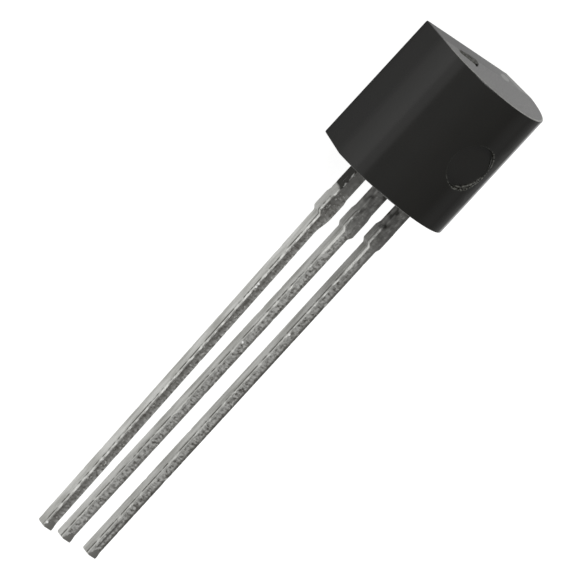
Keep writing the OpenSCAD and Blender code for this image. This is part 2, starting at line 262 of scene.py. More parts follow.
def tinned_copper():
    """Copper alloy strip, stamped and then plated with matt tin. Its sheared sides are smooth, its
    broad faces are pitted and stained and painted lighter, with painted glints and shade, its
    upper edges carry painted highlights, and resin, flux and painted shade darken it at the case."""
    made, tree = new_material("matt_tin_on_copper")
    place = add(tree, "TexCoord").outputs["Object"]
    facing = add(tree, "SeparateXYZ", {0: add(tree, "NewGeometry").outputs["True Normal"]}).outputs
    broad = add(tree, "Math", {0: facing["Z"]}, operation="ABSOLUTE")
    broad = add(tree, "MapRange", {0: broad, 1: 0.6, 2: 0.9})
    # The first mark, edge, is the distance in millimetres from the nearest edge of the lead: more
    # than zero on the broad faces, and less on the sheared sides
    edge, resin_and_shade, stain_and_shade, cut, ridge_highlight, glint_speck = (
        add(tree, "Attribute", attribute_name=name).outputs["Fac"] for name in LEAD_MARKS)

    # Bands and breaks are stretched along the lead, and streaks across it
    bands, streaks, blotch, breaks, grit = (
        add(tree, "TexNoise", {
            "Vector": add(tree, "VectorMath", {0: place, 1: squeeze}, operation="MULTIPLY"),
            "Scale": per_mm(size), "Detail": detail})
        for squeeze, size, detail in (
            ((1, 0.13, 1), 0.15, 4.0), ((0.35, 1, 1), 0.075, 3.0), ((1, 1, 1), 0.13, 4.0),
            ((1, 0.45, 1), 0.11, 4.0), ((1, 1, 1), 0.07, 3.0)))

    # Bands of slightly different grey follow each other along the sheared sides
    cloud = add(tree, "MapRange", {0: bands, 1: 0.36, 2: 0.64})
    colour = add(tree, "Mix", {0: cloud, 6: "#979793", 7: "#b9b9b6"}, data_type="RGBA")
    # Oxide stains on the broad faces: streaks scuffed across the strip, blotches, and where the
    # attribute has them, as it also paints shade on the upper faces. The thickest is the darkest.
    streaks = add(tree, "MapRange", {0: streaks, 1: 0.42, 2: 0.62, 4: 0.6})
    blotch = add(tree, "MapRange", {0: blotch, 1: 0.49, 2: 0.6, 4: 0.55})
    stain = add(tree, "Math", {0: streaks, 1: blotch}, operation="ADD")
    stain = add(tree, "Math", {0: stain, 1: broad}, operation="MULTIPLY")
    stain = add(tree, "Mix", {0: stain_and_shade, 2: stain, 3: 1.0})
    deep = add(tree, "MapRange", {0: stain_and_shade, 1: 0.7, 2: 1.0})
    deep = add(tree, "Mix", {0: deep, 6: "#706e69", 7: "#4a4844"}, data_type="RGBA")
    # Resin fills the pits, so that the film over them is smooth
    film = add(tree, "MapRange", {0: resin_and_shade, 1: 0.15, 2: 0.6, 4: 0.6})
    stain = add(tree, "Mix", {0: film, 2: stain, 3: 0.5})
    # The plating is thicker, and so lighter, round the upper edges
    # A painted highlight: the upper edges are painted lighter
    rounded = near_line(tree, edge, line=-0.035, outer=0.05, inner=0.025, most=0.45)
    # Painted glints: bright specks in the broad faces
    pits = add(tree, "TexNoise", {
        "Vector": place, "Scale": per_mm(0.09), "Detail": 3.0, "W": 3.7}, noise_dimensions="4D")
    pits = add(tree, "MapRange", {0: pits, 1: 0.6, 2: 0.68, 4: 0.8})
    pits = add(tree, "Math", {0: pits, 1: broad}, operation="MULTIPLY")
    # The cut at the tip is smooth, and its facet is painted darker as shade
    cut = add(tree, "MapRange", {0: cut, 1: 0.35, 2: 0.65})

    # A dark line painted next to the edge where the strip was sheared, as the shade of a groove,
    # broken up along its length. Resin and painted shade hide it, and so does the edge's highlight.
    groove = near_line(tree, edge, line=-0.075, outer=0.034, inner=0.014)
    broken = add(tree, "MapRange", {0: breaks, 1: 0.47, 2: 0.6, 3: 1.0, 4: 0.1})
    clear = add(tree, "MapRange", {0: resin_and_shade, 1: 0.62, 2: 0.45})
    highlight_free = add(tree, "MapRange", {0: ridge_highlight, 1: 0.72, 2: 0.58})
    for share in (broken, clear, highlight_free):
        groove = add(tree, "Math", {0: groove, 1: share}, operation="MULTIPLY")

    # A painted highlight on the edge itself, in lengths, in a wider line where it is strongest. The
    # attribute is 0 where there is none, 0.5 where it is broken, and 1 where it is all bright.
    width = add(tree, "MapRange", {0: ridge_highlight, 1: 0.55, 2: 0.75, 3: 1.0, 4: 1.7})
    ridge_glint = near_line(tree, edge, line=-0.014, outer=0.034, inner=0.014, width=width)
    broken = add(tree, "MapRange", {0: breaks, 1: 0.44, 2: 0.6, 3: 0.05, 4: 1.0})
    ridge_highlight = add(tree, "Math", {0: ridge_highlight, 1: 2.0, 2: -1.0}, operation="MULTIPLY_ADD")
    broken = add(tree, "Math", {0: broken, 1: ridge_highlight}, operation="ADD", use_clamp=True)
    ridge_glint = add(tree, "Math", {0: ridge_glint, 1: broken}, operation="MULTIPLY")

    # Each layer covers those before it. The last is a few painted glints, white specks on the edge.
    # Painted light: the broad faces are painted lighter than the sheared sides
    for share, over in (
            (broad, "#dcdcd8"), (stain, deep), (rounded, "#d6d6d2"), (pits, "#e4e4df"),
            (cut, "#868581"), (resin_and_shade, "#32312d"), (groove, "#54534f"), (ridge_glint, "#f2f2ee"),
            (glint_speck, "#fbfbf9")):
        colour = add(tree, "Mix", {0: share, 6: colour, 7: over}, data_type="RGBA")
    # Resin, painted shade and the painted glint specks aren't bare metal, and the painted edge
    # highlight is partly matt
    bare = add(tree, "Math", {0: 1.0, 1: resin_and_shade}, operation="SUBTRACT", use_clamp=True)
    matt = add(tree, "Math", {0: ridge_glint, 1: 0.35}, operation="MULTIPLY")
    matt = add(tree, "Math", {0: matt, 1: glint_speck}, operation="MAXIMUM")
    metal = add(tree, "Math", {0: bare, 1: matt}, operation="SUBTRACT", use_clamp=True)

    shine = add(tree, "Mix", {0: broad, 2: 0.36, 3: 0.46})
    shine = add(tree, "Mix", {0: ridge_glint, 2: shine, 3: 0.6})
    plain = add(tree, "Math", {0: broad, 1: cut}, operation="SUBTRACT", use_clamp=True)
    depth = add(tree, "Mix", {0: plain, 2: 0.12, 3: 0.7})
    bump = add(tree, "Bump", {"Height": grit, "Strength": depth, "Distance": 0.008 * MM})
    surface = add(tree, "BsdfPrincipled", {
        "Base Color": colour, "Metallic": metal, "Roughness": shine, "Normal": bump})
    # Thick resin, and the darkest painted shade and painted reflection, have no gloss
    crust = add(tree, "BsdfDiffuse", {"Color": colour, "Normal": bump})
    thick = add(tree, "MapRange", {0: resin_and_shade, 1: 0.91, 2: 0.97, 4: 0.65})
    both = add(tree, "MixShader", {0: thick, 1: surface, 2: crust})
    add(tree, "OutputMaterial", {"Surface": both})
    return made


def polished_silicon():
    """A sawn silicon chip: dark blue-grey and mirror-like on its faces, with fine saw marks on its
    sides."""
    made, tree = new_material("polished_silicon")
    place = add(tree, "TexCoord").outputs["Object"]
    saw = add(tree, "TexWave", {"Vector": place, "Scale": per_mm(0.2), "Distortion": 1.5},
              bands_direction="Z").outputs["Fac"]
    colour = add(tree, "Mix", {0: saw, 6: "#4e5563", 7: "#6a7180"}, data_type="RGBA")
    shine = add(tree, "MapRange", {0: saw, 3: 0.12, 4: 0.22})
    surface = add(tree, "BsdfPrincipled", {
        "Base Color": colour, "Metallic": 0.6, "Roughness": shine})
    add(tree, "OutputMaterial", {"Surface": surface})
    return made


def reflowed_solder():
    """Solder that flowed under the chip and froze: dull grey, with the frost of its grains."""
    made, tree = new_material("reflowed_solder")
    place = add(tree, "TexCoord").outputs["Object"]
    grains = add(tree, "TexVoronoi", {"Vector": place, "Scale": per_mm(0.04)}).outputs["Distance"]
    colour = add(tree, "Mix", {0: grains, 6: "#8f9092", 7: "#a7a8a9"}, data_type="RGBA")
    bump = add(tree, "Bump", {"Height": grains, "Strength": 0.4, "Distance": 0.002 * MM})
    surface = add(tree, "BsdfPrincipled", {
        "Base Color": colour, "Metallic": 1.0, "Roughness": 0.42, "Normal": bump})
    add(tree, "OutputMaterial", {"Surface": surface})
    return made


def drawn_gold():
    """Gold bond wire: bright, with the faint lines of the drawing die along it."""
    made, tree = new_material("drawn_gold")
    place = add(tree, "TexCoord").outputs["Object"]
    lines = add(tree, "TexNoise", {"Vector": place, "Scale": per_mm(0.01), "Detail": 2.0})
    colour = add(tree, "Mix", {0: lines, 6: "#d9ad4e", 7: "#edc768"}, data_type="RGBA")
    shine = add(tree, "MapRange", {0: lines, 3: 0.15, 4: 0.28})
    surface = add(tree, "BsdfPrincipled", {
        "Base Color": colour, "Metallic": 1.0, "Roughness": shine})
    add(tree, "OutputMaterial", {"Surface": surface})
    return made


def white_paper():
    """The smooth white sheet that the part lies on. It shows white, and keeps the part's soft
    shadow."""
    made, tree = new_material("white_paper")
    path = add(tree, "LightPath").outputs
    seen = path["Is Camera Ray"]
    for other in ("Is Glossy Ray", "Is Transmission Ray"):
        seen = add(tree, "Math", {0: seen, 1: path[other]}, operation="MAXIMUM")
    sheet = add(tree, "BsdfDiffuse", {"Color": "#a6a6a5"})
    # Enough to make the lit sheet white, and no more
    strength = add(tree, "Math", {0: seen, 1: 0.87}, operation="MULTIPLY")
    glow = add(tree, "Emission", {"Color": "#ffffff", "Strength": strength})
    both = add(tree, "AddShader", {0: sheet, 1: glow})
    add(tree, "OutputMaterial", {"Surface": both})
    return made


# The case's faces carry one of its two finishes by number
POLISHED, ERODED = 0, 1
EPOXY = [polished_epoxy(), eroded_epoxy()]
TIN = [tinned_copper()]


# ---------------------------------------------------------------- pieces

# Vertices closer than this are one
WELD = 0.0002


def new_object(name, data):
    """An object in the scene."""
    made = bpy.data.objects.new(name, data)
    bpy.context.scene.collection.objects.link(made)
    return made


def mesh_object(name, mesh, materials):
    """The object of a bmesh, which is used up."""
    data = bpy.data.meshes.new(name)
    mesh.to_mesh(data)
    mesh.free()
    for material in materials:
        data.materials.append(material)
    return new_object(name, data)


def finish_piece(name, mesh, materials, slot, *nodes):
    """Makes the object of a bmesh, rides it on the part and shows it for its solids."""
    bmesh.ops.remove_doubles(mesh, verts=mesh.verts, dist=WELD)
    bmesh.ops.recalc_face_normals(mesh, faces=mesh.faces)
    bmesh.ops.scale(mesh, vec=(MM, MM, MM), verts=mesh.verts)
    made = mesh_object(name, mesh, materials)
    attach(made, "root")
    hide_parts(*nodes)


def band(mesh, lower, upper):
    """Joins two rings of vertices with four-sided, smooth faces."""
    for a, b, c, d in zip(lower, lower[1:] + lower[:1], upper[1:] + upper[:1], upper):
        mesh.faces.new((a, b, c, d)).smooth = True


# Sizes of the case, from the solid's box
case_low, case_high = node_box("case")
BACK_R = (case_high[0] - case_low[0]) / 2
AXIS_Z = case_high[2] - BACK_R
TOP_Y = case_high[1]
BOTTOM_Y = case_low[1]
# Half the width of the flat face, the radius of every moulded edge, and the drafts in degrees
FLAT_HALF_W = 2.06
EDGE_R = 0.045
FLAT_DRAFT, ROUND_DRAFT = 2.4, 1.5
# Steps in the case's section: across the flat, round its corners, up to the parting line, and
# from there to the patch. The edges and the wall have their own, along Y.
FLAT_STEPS, CORNER_STEPS, SIDE_STEPS, BACK_STEPS = 16, 5, 6, 23
EDGE_STEPS, WALL_STEPS = 5, 8
# Width of the rim of an end face that is one mesh with the wall
FACE_RIM = 0.04
# The eroded finish goes round the edge as far as the mould's ends do: so many rows
ERODED_ROWS = 4

# The ejector pin's mark in the round back, and the square of surface that is remade for it
MARK_R = 0.81
MARK_DEPTH = 0.17
PATCH = 1.1
PATCH_CELLS = 24
# The outer rings start as the patch's square, drawn this large against the mark
SQUARE = 0.9
# Rings of the mark, from the outside in. Each has its radius, how round it is, how far down the
# step it lies, and how torn its lip and its foot are.
MARK_RINGS = [
    (0.93, 0.75, 0, 0, 0), (0.87, 0.9, 0, 0, 0), (0.83, 1, 0, 0, 0), (0.815, 1, 0, 0.25, 0),
    (0.8, 1, 0, 0.8, 0), (0.787, 1, 0, 1, 0), (0.777, 1, 0.1, 1, 0.1), (0.77, 1, 0.5, 0.3, 0.3),
    (0.763, 1, 0.92, 0, 0.9), (0.747, 1, 1, 0, 1), (0.727, 1, 1, 0, 0.8), (0.707, 1, 1, 0, 0.1),
    (0.65, 1, 1, 0, 0), (0.5, 1, 1, 0, 0), (0.25, 1, 1, 0, 0)]
# How torn the lip is round the mark, by degrees from +X towards +Y. The pale tears are partly
# painted highlights on the lip, mostly on its +X side.
MARK_TEARS = [
    (-180, 0.03), (-146, 0.05), (-130, 0.3), (-100, 0.4), (-88, 0.75), (-50, 0.8), (-24, 0.6),
    (-14, 1.0), (-6, 1.0), (2, 0.35), (20, 0.3), (28, 0.7), (48, 0.8), (66, 0.4), (96, 0.15),
    (122, 0.03), (180, 0.03)]

# The torn gate in the top face, from its outer to its inner end: the line that it follows, half
# the width of the tear and of the groove at each end, and the most that the tear reaches towards
# the flat face
SCAR = {"outer_x": -1.57, "inner_x": -0.57, "z": 1.43, "half": (0.1, 0.46),
        "groove_half": (0.025, 0.08), "low_half": 0.36}
TEAR_DEPTH, GROOVE_DEPTH, GROOVE_RIPPLE = 0.01, 0.018, 0.022
# The pit is a slot. Its reach along and across is 1.4 times half its size.
PIT = {"x": -0.874, "z": 1.593, "along": 0.26, "across": 0.05, "depth": 0.2}
# Points that carry the tear's detail: the first, the space between them, and how many each way
TEAR_GRID = {"x": -1.7, "z": 0.92, "space": 0.018, "columns": 78, "rows": 50}


def back_z(x):
    """Height of the round back at a distance from the middle plane."""
    return AXIS_Z + sqrt(BACK_R * BACK_R - x * x)


def end_y(z):
    """Distance of an end face from the middle of the case: both mould halves draft away from the
    parting."""
    draft = ROUND_DRAFT if z > PARTING_Z else FLAT_DRAFT
    return TOP_Y - abs(z - PARTING_Z) * tan(radians(draft))


def case_outline():
    """Section of the case: points with their outward directions, round from the flat's left end.
    Also gives the index of the first column that crosses the ejector mark's patch."""
    points = []
    parting_x = sqrt(BACK_R ** 2 - (PARTING_Z - AXIS_Z) ** 2)
    side = Vector((parting_x - FLAT_HALF_W, PARTING_Z)).normalized()
    low_angle = atan2(-side.x, side.y)
    corner_x = FLAT_HALF_W - EDGE_R * (1 - sin(-low_angle)) / cos(low_angle)
    for i in range(FLAT_STEPS + 1):
        points.append((mix(-corner_x, corner_x, i / FLAT_STEPS), 0.0, 0.0, -1.0))
    for i in range(1, CORNER_STEPS + 1):
        a = mix(-pi / 2, low_angle, i / CORNER_STEPS)
        points.append((corner_x + EDGE_R * cos(a), EDGE_R + EDGE_R * sin(a), cos(a), sin(a)))
    start_x, start_z = points[-1][:2]
    for i in range(1, SIDE_STEPS):
        x, z = mix(start_x, parting_x, i / SIDE_STEPS), mix(start_z, PARTING_Z, i / SIDE_STEPS)
        points.append((x, z, side.y, -side.x))
    first = asin((PARTING_Z - AXIS_Z) / BACK_R)
    patch_angle = asin(sqrt(1 - (PATCH / BACK_R) ** 2))
    for i in range(BACK_STEPS):
        a = mix(first, patch_angle, i / BACK_STEPS)
        points.append((BACK_R * cos(a), AXIS_Z + BACK_R * sin(a), cos(a), sin(a)))
    patch_start = len(points)
    for i in range(PATCH_CELLS):
        x = mix(PATCH, -PATCH, i / PATCH_CELLS)
        points.append((x, back_z(x), x / BACK_R, (back_z(x) - AXIS_Z) / BACK_R))
    for i in range(BACK_STEPS + 1):
        a = mix(pi - patch_angle, pi - first, i / BACK_STEPS)
        points.append((BACK_R * cos(a), AXIS_Z + BACK_R * sin(a), cos(a), sin(a)))
    for i in range(1, SIDE_STEPS):
        x, z = mix(parting_x, start_x, i / SIDE_STEPS), mix(PARTING_Z, start_z, i / SIDE_STEPS)
        points.append((-x, z, -side.y, -side.x))
    for i in range(CORNER_STEPS):
        a = mix(low_angle, -pi / 2, i / CORNER_STEPS)
        points.append((-corner_x - EDGE_R * cos(a), EDGE_R + EDGE_R * sin(a), -cos(a), sin(a)))
    return points, patch_start


def scar_shape(x, z):
    """How far the torn gate lies below the top face, and from 0 to 1 how torn the face is there and
    how much shade is painted there. The tear widens towards its slanted inner end, and a groove
    runs along it into a pit."""
    t = (x - SCAR["outer_x"]) / (SCAR["inner_x"] - SCAR["outer_x"])
    if t < -0.1 or t > 1.5:
        return 0.0, 0.0, 0.0
    ragged = 1 + 0.2 * rough(x, z, 0, 0.11, 1)
    half = mix(*SCAR["half"], t) * ragged
    middle = SCAR["z"] - 0.07 + 0.03 * smooth(0.4, 0.8, t) + 0.02 * rough(x, z, 0, 0.2, 2)
    half = min(half, SCAR["low_half"]) if z < middle else half
    # The inner end slants, most of all towards the round back
    below = SCAR["z"] - 0.08 - z
    inner = 1.04 + below * (1.1 if z > SCAR["z"] - 0.08 else 0.35)
    inner += 0.05 * rough(x, z, 0, 0.1, 3)
    ends = smooth(-0.04, 0.06, t) * smooth(inner, inner - 0.06, t)
    # Ridges of broken epoxy lie across the tear
    patchy = smooth(-0.3, 0.3, rough((x + z) * 0.7, (x - z) * 0.12, 0, 0.075, 4))
    torn = ends * smooth(half + 0.02, half - 0.02, abs(z - middle)) * (0.72 + 0.28 * patchy)
    groove_z = SCAR["z"] + 0.16 * smooth(0.4, 0.75, t)
    groove_half = mix(*SCAR["groove_half"], clamp(t)) * ragged
    groove = ends * smooth(groove_half + 0.02, groove_half - 0.03, abs(z - groove_z))
    # The pit's slot slants across the inner end, and its lip gets painted shade as well
    dx, dz = x - PIT["x"], z - PIT["z"]
    away = hypot((dx - dz) / PIT["along"], (dx + dz) / PIT["across"])
    away += 0.1 * rough(x, z, 0, 0.05, 6)
    pit = smooth(1.15, 0.85, away)
    dark = smooth(1.5, 1.2, away)
    ripple = GROOVE_RIPPLE * rough(x, z, 0, 0.09, 5)
    depth = max(0.0, torn * TEAR_DEPTH + groove * (GROOVE_DEPTH + ripple))
    # Painted shade in the groove, in the pit and round its lip
    recess_shade = max(0.3 * groove * (0.4 + 0.6 * patchy), dark)
    return depth * (1 - pit) + pit * PIT["depth"], max(torn, groove, dark), recess_shade


def end_cap(mesh, torn, recess_shade, loop, sign):
    """Closes an end of the case with flat faces, which are fine where the gate tore at the top."""
    flat_points = [Vector((v.co.x, v.co.z)) for v in loop]
    count = len(loop)
    edges = [(i, (i + 1) % count) for i in range(count)]
    # A straight edge joins the two points on the parting line, where the drafts meet
    edges.append(tuple(sorted(range(count), key=lambda i: abs(loop[i].co.z - PARTING_Z))[:2]))
    if sign > 0:
        space = TEAR_GRID["space"]
        flat_points += [Vector((TEAR_GRID["x"] + i * space, TEAR_GRID["z"] + j * space))
                        for i in range(TEAR_GRID["columns"]) for j in range(TEAR_GRID["rows"])]
    placed, _, faces, origins, _, _ = geometry.delaunay_2d_cdt(flat_points, edges, [], 1, 1e-5)
    verts = []
    for point, origin in zip(placed, origins):
        known = [o for o in origin if o < count]
        if known:
            verts.append(loop[known[0]])
        else:
            depth, tear, dark = scar_shape(point.x, point.y) if sign > 0 else (0.0, 0.0, 0.0)
            verts.append(mesh.verts.new((point.x, sign * (end_y(point.y) - depth), point.y)))
            verts[-1][torn] = tear
            verts[-1][recess_shade] = dark
    for face in faces:
        corners = [verts[i] for i in face]
        if len(set(corners)) == len(corners):
            made = mesh.faces.new(corners)
            made.smooth = False
            made.material_index = ERODED


def mark_tear(angle):
    """How much the epoxy tore round the ejector pin, from 0 to 1, and how much of that is also at
    the foot of the step. The angle is in degrees from +X towards +Y."""
    tear, = at_stop(MARK_TEARS, angle)
    return tear, smooth(-86, -70, angle) * smooth(-6, -14, angle)


def mark_patch(mesh, torn, rim):
    """The ejector pin's mark: rings from a square of surface in to the round, sunken floor."""
    floor_z = case_high[2] - MARK_DEPTH
    previous = rim
    angles = [atan2(v.co.y, v.co.x) for v in rim]
    for radius, roundness, sunk, lip, foot in MARK_RINGS:
        ring = []
        for vertex, a in zip(rim, angles):
            tear, foot_tear = mark_tear(degrees(a))
            tear = max(lip, foot * foot_tear) * tear
            wobble = 0.02 * tear * rough(cos(a) * radius, sin(a) * radius, sunk, 0.1, 7)
            circle = Vector(((radius + wobble) * cos(a), (radius + wobble) * sin(a)))
            square = Vector((vertex.co.x, vertex.co.y)) * radius / MARK_R * SQUARE
            x, y = square.lerp(circle, roundness)
            burr = 0.012 * tear * max(0.0, rough(x, y, 0, 0.06, 8))
            low = floor_z + 0.003 * rough(x, y, 0, 0.4, 9)
            z = min(mix(back_z(x), low, sunk), back_z(x)) + burr
            ring.append(mesh.verts.new((x, y, min(z, case_high[2]))))
            ring[-1][torn] = tear
        band(mesh, previous, ring)
        previous = ring
    middle = mesh.verts.new((0, 0, floor_z))
    for a, b in zip(previous, previous[1:] + previous[:1]):
        mesh.faces.new((a, b, middle)).smooth = True


def moulded_case():
    """The case as one mesh: side wall with rounded ends, the ejector mark's patch, and two end
    faces."""
    mesh = bmesh.new()
    torn = mesh.verts.layers.float.new("torn")
    rim_highlight = mesh.verts.layers.float.new("rim_highlight")
    recess_shade = mesh.verts.layers.float.new("recess_shade")
    outline, patch_start = case_outline()
    # Rows along Y: the rim of an end face, its rounded edge, the wall up to the patch, the patch,
    # and the same again
    ends = []
    for sign in (-1, 1):
        rows = [("face", sign, FACE_RIM)]
        rows += [("edge", sign, radians(90 * (1 - i / EDGE_STEPS))) for i in range(EDGE_STEPS + 1)]
        rows += [("wall", sign, i / WALL_STEPS) for i in range(1, WALL_STEPS)]
        ends.append(rows)
    patch = [("patch", 0, mix(-PATCH, PATCH, i / PATCH_CELLS)) for i in range(PATCH_CELLS + 1)]
    grid = []
    for kind, sign, value in ends[0] + patch + ends[1][::-1]:
        row = []
        for x, z, nx, nz in outline:
            inset = 0.0
            if kind == "edge":
                inset = EDGE_R * (1 - cos(value))
                y = sign * (end_y(z - nz * inset) - EDGE_R * (1 - sin(value)))
            elif kind == "face":
                inset = EDGE_R + value
                y = sign * end_y(z - nz * inset)
            elif kind == "wall":
                y = sign * mix(end_y(z) - EDGE_R, PATCH, value)
            else:
                y = value
            row.append(mesh.verts.new((x - nx * inset, y, z - nz * inset)))
            if kind == "edge":
                # Only the rim of the round half gets the painted highlight, and more at the top
                highlight_here = smooth(30, 72, degrees(value)) * smooth(0.0, 0.4, nz)
                row[-1][rim_highlight] = highlight_here * (1.0 if sign > 0 else 0.4)
        grid.append(row)
    bottom, left = len(ends[0]), patch_start
    top, right = bottom + PATCH_CELLS, left + PATCH_CELLS
    count = len(outline)
    for r in range(len(grid) - 1):
        for c in range(count):
            if bottom <= r < top and left <= c < right:
                continue
            d = (c + 1) % count
            made = mesh.faces.new((grid[r][c], grid[r][d], grid[r + 1][d], grid[r + 1][c]))
            made.smooth = True
            from_end = min(r, len(grid) - 2 - r)
            made.material_index = ERODED if from_end < ERODED_ROWS else POLISHED
    rim = [grid[bottom][c] for c in range(left, right)]
    rim += [grid[r][right] for r in range(bottom, top)]
    rim += [grid[top][c] for c in range(right, left, -1)]
    rim += [grid[r][left] for r in range(top, bottom, -1)]
    mark_patch(mesh, torn, rim)
    end_cap(mesh, torn, recess_shade, grid[0], -1)
    end_cap(mesh, torn, recess_shade, grid[-1], 1)
    finish_piece("moulded_case", mesh, EPOXY, "moulding_epoxy", "case")


# Sizes of the lead frame
STRIP_LOW_Z, STRIP_T = 1.2, 0.38
LEAD_W = 0.37
# Radius of a lead's edges, but for the two that each lead has sharper
LEAD_EDGE = 0.07
EDGE_ARC, FACE_STEPS = 15, 6
# What is left of the dam bar that joined the leads: heights of its ends, slope and reach
STUB_TOP, STUB_BOTTOM, STUB_SLOPE = BOTTOM_Y - 1.15, BOTTOM_Y - 1.65, 0.17
STUB_OUT = 0.045
THIN_TOP = STUB_BOTTOM - STUB_SLOPE
# The cut at a tip: how far up it is rounded, how far its facet drops, and how far it was squeezed
# out to one side
TIP_ROUND, FACET_DROP, TIP_SQUEEZE = 0.068, 0.03, 0.035
# Rows of the rod are closer together up to a height above the tip
ROW_STEP, TIP_STEP, TIP_ROWS_H = 0.03, 0.014, 0.34
# The paddle under the chip, and the posts that take the bond wires
PADDLE = {"left": -1.67, "right": 0.53, "bottom": -0.27, "top": 1.58, "hole": 0.5}
POST_HALF_W, POST_H = 0.39, 0.55
HOLE_STEPS = 40

# What differs from lead to lead:
#   x: its place in the row; lean: its tilt below the stub, in degrees
#   shoulder, shift: width where it leaves the case, and how far the stub is off its middle
#   stem_top: where its rod ends inside the case
#   droop, taper: how much lower the stub's right side hangs, and how much longer it slopes
#   narrowed: how much is gone from the right side below the stub
#   crown: how much lower the broad faces are at their sides than in the middle
#   sharp: radius of its two sharper edges; rolled: how much further down its edge lines lie
#   stain_and_shade: how much stain and painted shade the upper face has on the left and on the
#       right
#   dark_edge: how much painted shade is at its right edge
#   crumbs: heights of the painted glints, white specks on the left edge
#   resin_and_shade: rows of height, and how dark resin and painted shade make the sides and the
#     upper face there
#   ridge_highlight: rows of height, and how bright the upper edges are painted as a highlight there
LEADS = {
    "collector_lead": {
        "x": -1.27, "lean": 1.45, "shoulder": 0.54, "shift": 0.0, "stem_top": -0.07,
        "droop": 0.06, "taper": 0.45, "narrowed": 0.0, "crown": 0.0, "sharp": 0.05, "rolled": 0.0,
        "stain_and_shade": (0.72, 0.36), "dark_edge": 0.0, "crumbs": (-16.36, -6.95, -6.84),
        "resin_and_shade": [(-17, 0, 0), (-5, 0, 0), (-4.3, 0.05, 0.1), (-3.8, 0.22, 0.18),
                  (-3.2, 0.25, 0.3), (-2.9, 0.25, 0.6), (-2.42, 0.3, 0.62), (-2.34, 0.8, 0.9)],
        "ridge_highlight": [(-17, 0.2), (-16.1, 0.25), (-15.5, 0.4), (-11, 0.46), (-5.4, 0.48), (-4.9, 0.6),
                (-4.1, 0.6), (-4.0, 0.35), (-3.3, 0.4), (-3.1, 0.38), (-2.5, 0.32), (-2.4, 0)]},
    "base_lead": {
        "x": 0.0, "lean": 0.0, "shoulder": 0.50, "shift": 0.0, "stem_top": -1.15,
        "droop": 0.16, "taper": 0.0, "narrowed": 0.01, "crown": 0.007, "sharp": 0.04,
        "rolled": 0.025, "stain_and_shade": (0.0, 0.25), "dark_edge": 0.7, "crumbs": (-8.58,),
        "resin_and_shade": [(-17, 0.08, 0.02), (-8, 0.1, 0.03), (-6, 0.16, 0.05), (-4.4, 0.25, 0.1),
                  (-3.9, 0.35, 0.52), (-3.45, 0.44, 0.6), (-3.0, 0.72, 0.74), (-2.42, 0.8, 0.82),
                  (-2.34, 0.9, 0.94)],
        "ridge_highlight": [(-17, 0.15), (-16.1, 0.2), (-15.5, 0.28), (-11, 0.32), (-5.4, 0.5), (-4.9, 0.76),
                (-4.15, 0.76), (-4.0, 0.68), (-3.45, 0.5), (-3.1, 0), (-2.3, 0)]},
    "emitter_lead": {
        "x": 1.27, "lean": 0.15, "shoulder": 0.46, "shift": -0.035, "stem_top": 0.25,
        "droop": 0.0, "taper": 0.0, "narrowed": 0.016, "crown": 0.01, "sharp": 0.032,
        "rolled": 0.02, "stain_and_shade": (0.0, 0.3), "dark_edge": 0.9, "crumbs": (-7.62,),
        "resin_and_shade": [(-17, 0.08, 0.03), (-8, 0.12, 0.08), (-6, 0.27, 0.2), (-4.4, 0.38, 0.4),
                  (-3.9, 0.55, 0.62), (-3.45, 0.62, 0.66), (-3.0, 0.89, 0.78), (-2.42, 0.9, 0.84),
                  (-2.34, 0.92, 0.94)],
        "ridge_highlight": [(-17, 0.15), (-16.1, 0.2), (-15.5, 0.3), (-11, 0.36), (-5.4, 0.5), (-4.9, 0.78),
                (-4.15, 0.78), (-4.0, 0.68), (-3.45, 0.6), (-3.1, 0), (-2.3, 0)]},
}


def lead_sides(lead, y):
    """Left and right side of a lead at a height, measured from its centre line. The stub of the dam
    bar was sheared lower, and less squarely, on the right of two leads."""
    sides = []
    for sign, droop, slope in (
            (-1, 0.0, STUB_SLOPE), (1, lead["droop"], STUB_SLOPE + lead["taper"])):
        thin = sign * LEAD_W / 2 - (lead["narrowed"] if sign > 0 else 0.0)
        shoulder = sign * lead["shoulder"] / 2
        stub = lead["shift"] + shoulder + sign * STUB_OUT
        bottom = STUB_BOTTOM - droop
        if y <= bottom - slope:
            sides.append(thin)
        elif y < bottom:
            sides.append(mix(stub, thin, smooth(0, 1, (bottom - y) / slope)))
        elif y <= STUB_TOP:
            sides.append(stub)
        else:
            sides.append(mix(stub, shoulder, clamp((y - STUB_TOP) / STUB_SLOPE)))
    return sides


def ring_shape(left, right, low, high, sharp):
    """Points round a lead's section, with their outward directions and their distance from the
    nearest edge, which is less than zero on the sheared sides. Two of the edges are sharper."""
    corners = [(right, high, 1, 1, 0, sharp), (left, high, -1, 1, 90, LEAD_EDGE),
               (left, low, -1, -1, 180, sharp), (right, low, 1, -1, 270, LEAD_EDGE)]
    arcs = []
    for x, z, sx, sz, start, radius in corners:
        centre_x, centre_z = x - sx * radius, z - sz * radius
        # An arc at the first and third corner goes from a sheared side to a broad face
        way = 1 if start in (0, 180) else -1
        arc = []
        for turn in range(0, 91, EDGE_ARC):
            a = radians(start + turn)
            out_x, out_z = cos(a), sin(a)
            off = radius * radians(turn - 45) * way
            arc.append((centre_x + radius * out_x, centre_z + radius * out_z, out_x, out_z, off))
        arcs.append(arc)
    points = []
    for arc, after in zip(arcs, arcs[1:] + arcs[:1]):
        points += arc
        end, begin = arc[-1], after[0]
        length = hypot(begin[0] - end[0], begin[1] - end[1])
        for i in range(1, FACE_STEPS):
            point = [mix(end[n], begin[n], i / FACE_STEPS) for n in range(4)]
            off = min(abs(end[4]) + i / FACE_STEPS * length,
                      abs(begin[4]) + (FACE_STEPS - i) / FACE_STEPS * length)
            points.append((*point, off if end[4] > 0 else -off))
    return points


